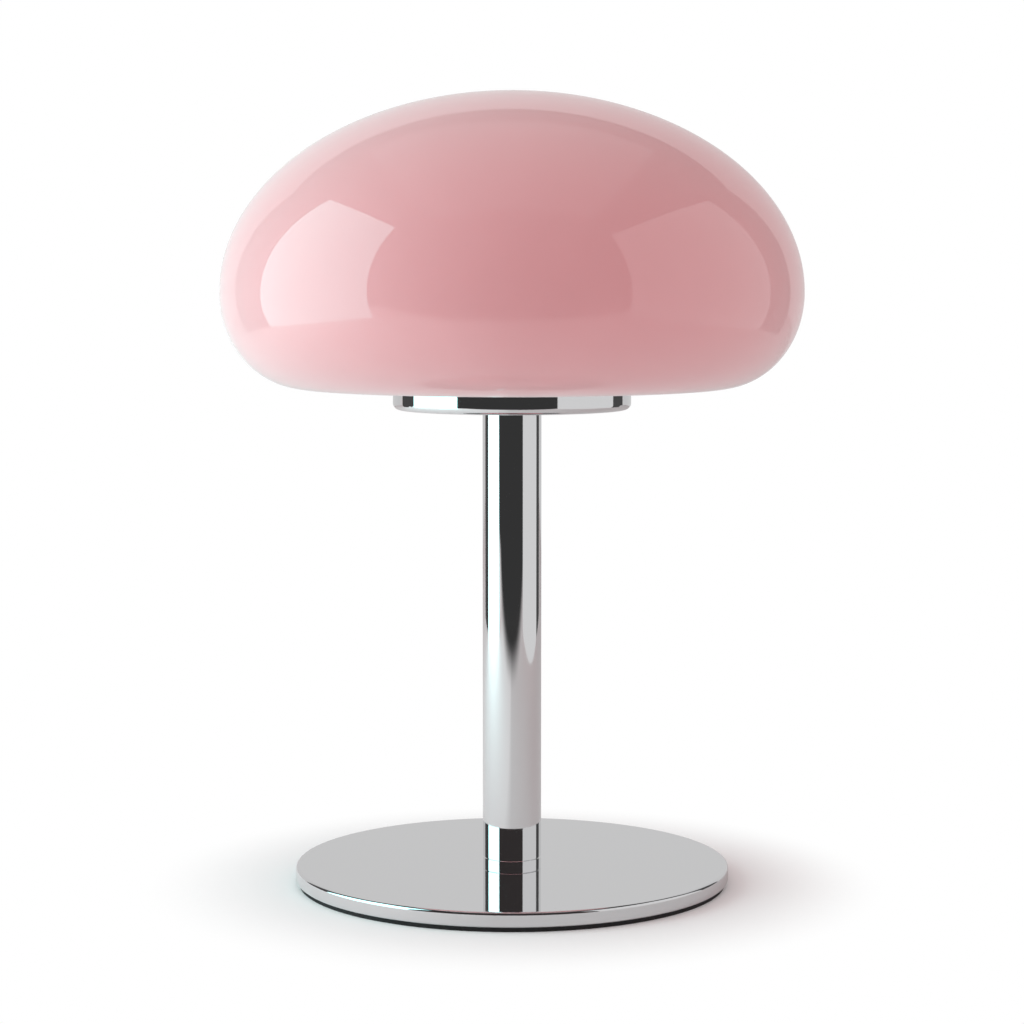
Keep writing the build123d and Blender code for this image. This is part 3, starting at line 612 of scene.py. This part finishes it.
cap = make_piece("rolled_bulb_cap", tree, {
    "Radius": cap_high[0],
    "Wall": cap_wall,
    "Bottom": cap_low[2],
    "Top": cap_high[2],
    "Taper": cap_taper,
    "Mouth": cap_mouth,
    "Lip": cap_lip,
    "Plain Top": cap_spigot,
    "Pitch": thread_pitch,
    "Depth": -thread_depth,
    "Finish": nickel,
})
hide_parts("bulb_cap")
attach(cap, "bulb")

# --- Studio lights ---------------------------------------------------------------------------
# A strong, slightly cool soft box on the left, a weaker warm one on the right, a warm panel
# overhead and a backdrop behind. Dark flags close the gaps beside the boxes, for gloss alone.
cool_window = (0.82, 1.0, 1.0, 1)
cool_gloss = (0.55, 1.0, 1.0, 1)
warm_lamp = (1.0, 0.78, 0.78, 1)
plain_white = (1, 1, 1, 1)
flag_top = 1.3
flag_gloss = 0.07
left_corners = [(-0.71, -0.56, 0), (-0.86, 0.25, 0), (-0.86, 0.23, 1.13), (-0.715, -0.52, 1.09)]
overhead_corners = [(-0.5, -0.58, 1.2), (0.5, -0.58, 1.2), (0.5, 0.61, 1.2), (-0.5, 0.61, 1.2)]


def blend(tree, factor, first, second):
    """Mix two colours by a factor."""
    mixed = put(tree, "ShaderNodeMix", {"Factor": factor, 6: first, 7: second},
                data_type="RGBA")
    return mixed.outputs[2]


def emitter(name, corners, lit, mirrored, lit_colour=plain_white, mirrored_colour=plain_white):
    """A flat light: lit is what it throws on the object, mirrored what gloss shows of it."""
    mesh = bpy.data.meshes.new(name)
    mesh.from_pydata(corners, [], [tuple(range(len(corners)))])
    panel = bpy.data.objects.new(name, mesh)
    scene.collection.objects.link(panel)
    material = bpy.data.materials.new(name)
    material.use_nodes = True
    tree = material.node_tree
    tree.nodes.clear()
    glossy = put(tree, "ShaderNodeLightPath", {}).outputs["Is Glossy Ray"]
    strength = put(tree, "ShaderNodeMapRange", {"Value": glossy, "To Min": lit,
                                                "To Max": mirrored}).outputs["Result"]
    colour = blend(tree, glossy, lit_colour, mirrored_colour)
    emission = put(tree, "ShaderNodeEmission", {"Color": colour, "Strength": strength})
    put(tree, "ShaderNodeOutputMaterial", {"Surface": emission.outputs["Emission"]})
    mesh.materials.append(material)
    panel.visible_camera = False
    panel.visible_shadow = False
    return panel


def upright(name, near, far, top, lit, mirrored, lit_colour=plain_white):
    """A standing panel between two points on the floor."""
    corners = [(*near, 0), (*far, 0), (*far, top), (*near, top)]
    return emitter(name, corners, lit, mirrored, lit_colour)


emitter("left_box", left_corners, lit=3.15, mirrored=2.8, lit_colour=cool_window,
        mirrored_colour=cool_gloss)
upright("right_box", near=(0.61, -0.66), far=(0.81, 0.31), top=1.00, lit=0.85, mirrored=0.75,
        lit_colour=warm_lamp)
upright("backdrop", near=(-1.6, 1.5), far=(1.6, 1.5), top=1.65, lit=0.4, mirrored=0.64,
        lit_colour=warm_lamp)
emitter("overhead_panel", overhead_corners, lit=0.72, mirrored=0.26, lit_colour=warm_lamp)
for name, near, far in (("left_flag", (-0.862, 0.252), (-0.78, 0.62)),
                        ("right_flag", (0.812, 0.312), (0.76, 0.66))):
    flag = upright(name, near, far, flag_top, lit=0.0, mirrored=flag_gloss)
    flag.visible_diffuse = False

# --- Table -----------------------------------------------------------------------------------
# It keeps the lamp's shadow, and further out runs into the white background for the camera.
# Gloss sees it dimmer from just left of the lamp on, a painted shade on its right side seen
# only in reflections, and past its bowed front edge sees the dark room. A little glow lifts the
# glass's underside.
table_reach = 6.0
table_white = (0.81, 0.86, 0.86, 1)
table_gloss_shaded = (0.65, 0.69, 0.69, 1)
gloss_shade_start = (-0.08, -0.01)
table_lift = 0.06
table_bounce = 0.18
shadow_reach = (0.10, 0.18)
front_edge = (0.60, 0.85)
front_bow = 0.286
bow_limit = 1.2
dark_front = 0.04
mesh = bpy.data.meshes.new("table")
mesh.from_pydata([(-table_reach, -table_reach, 0), (table_reach, -table_reach, 0),
                  (table_reach, table_reach, 0), (-table_reach, table_reach, 0)],
                 [], [(0, 1, 2, 3)])
table = bpy.data.objects.new("table", mesh)
scene.collection.objects.link(table)
material = bpy.data.materials.new("table_white")
material.use_nodes = True
tree = material.node_tree
tree.nodes.clear()
path = put(tree, "ShaderNodeLightPath", {}).outputs
place = put(tree, "ShaderNodeTexCoord", {}).outputs["Object"]
axes = put(tree, "ShaderNodeSeparateXYZ", {"Vector": place}).outputs
bowed = times(tree, times(tree, axes["X"], axes["X"]), -front_bow)
kept = reckon(tree, "MAXIMUM", bowed, -front_bow * bow_limit)
front = put(tree, "ShaderNodeMapRange", {"Value": minus(tree, kept, axes["Y"]),
                                         "From Min": front_edge[0], "From Max": front_edge[1]},
            interpolation_type="SMOOTHSTEP")
unlit = times(tree, front.outputs["Result"], path["Is Glossy Ray"])
# Painted shade: reflections see the table darker from just left of the lamp on.
dim = put(tree, "ShaderNodeMapRange", {"Value": axes["X"], "From Min": gloss_shade_start[0],
                                       "From Max": gloss_shade_start[1]})
painted_gloss_shade = times(tree, dim.outputs["Result"], path["Is Glossy Ray"])
tone = blend(tree, painted_gloss_shade, table_white, table_gloss_shaded)
white = put(tree, "ShaderNodeBsdfDiffuse", {"Color": tone})
black = put(tree, "ShaderNodeEmission", {"Strength": dark_front})
edged = put(tree, "ShaderNodeMixShader", {0: unlit, 1: white.outputs[0], 2: black.outputs[0]})
lift = plus(tree, times(tree, path["Is Camera Ray"], table_lift),
            times(tree, path["Is Diffuse Ray"], table_bounce))
lifted = put(tree, "ShaderNodeEmission", {"Strength": lift})
shown = put(tree, "ShaderNodeAddShader", {0: edged.outputs[0], 1: lifted.outputs[0]})
distance = put(tree, "ShaderNodeVectorMath", {0: place}, operation="LENGTH").outputs["Value"]
away = put(tree, "ShaderNodeMapRange", {"Value": distance, "From Min": shadow_reach[0],
                                        "From Max": shadow_reach[1]},
           interpolation_type="SMOOTHSTEP")
seen = times(tree, away.outputs["Result"], path["Is Camera Ray"])
background_white = put(tree, "ShaderNodeEmission", {"Strength": 1.0})
surface = put(tree, "ShaderNodeMixShader", {0: seen, 1: shown.outputs[0],
                                            2: background_white.outputs[0]})
put(tree, "ShaderNodeOutputMaterial", {"Surface": surface.outputs[0]})
mesh.materials.append(material)

# --- Room ------------------------------------------------------------------------------------
# White to the camera, almost dark to gloss, and a warm fill for the rest.
# The Standard view keeps white as it is and compresses nothing.
warm_room = (1.0, 0.88, 0.88, 1)
room_fill = 0.85
room_gloss = 0.04
scene.view_settings.view_transform = "Standard"
world = bpy.data.worlds.new("room")
scene.world = world
world.use_nodes = True
tree = world.node_tree
background = tree.nodes["Background"]
path = put(tree, "ShaderNodeLightPath", {}).outputs
colour = blend(tree, path["Is Camera Ray"], warm_room, plain_white)
fill = put(tree, "ShaderNodeMapRange", {"Value": path["Is Glossy Ray"], "To Min": room_fill,
                                        "To Max": room_gloss}).outputs["Result"]
tree.links.new(colour, background.inputs["Color"])
tree.links.new(reckon(tree, "MAXIMUM", fill, path["Is Camera Ray"]),
               background.inputs["Strength"])

# --- Camera ----------------------------------------------------------------------------------
# Fitted to the photograph: 1.28 m in front of the lamp, a little above the middle, looking
# slightly down.
camera_place = (0, -1.277, 0.2952)
camera_tilt = 5.23
camera_data = bpy.data.cameras.new("camera")
camera_data.sensor_fit = "HORIZONTAL"
camera_data.sensor_width = 36.0
camera_data.lens = 94.605
camera = bpy.data.objects.new("camera", camera_data)
camera.location = camera_place
camera.rotation_euler = (math.radians(90 - camera_tilt), 0, 0)
scene.collection.objects.link(camera)
scene.camera = camera
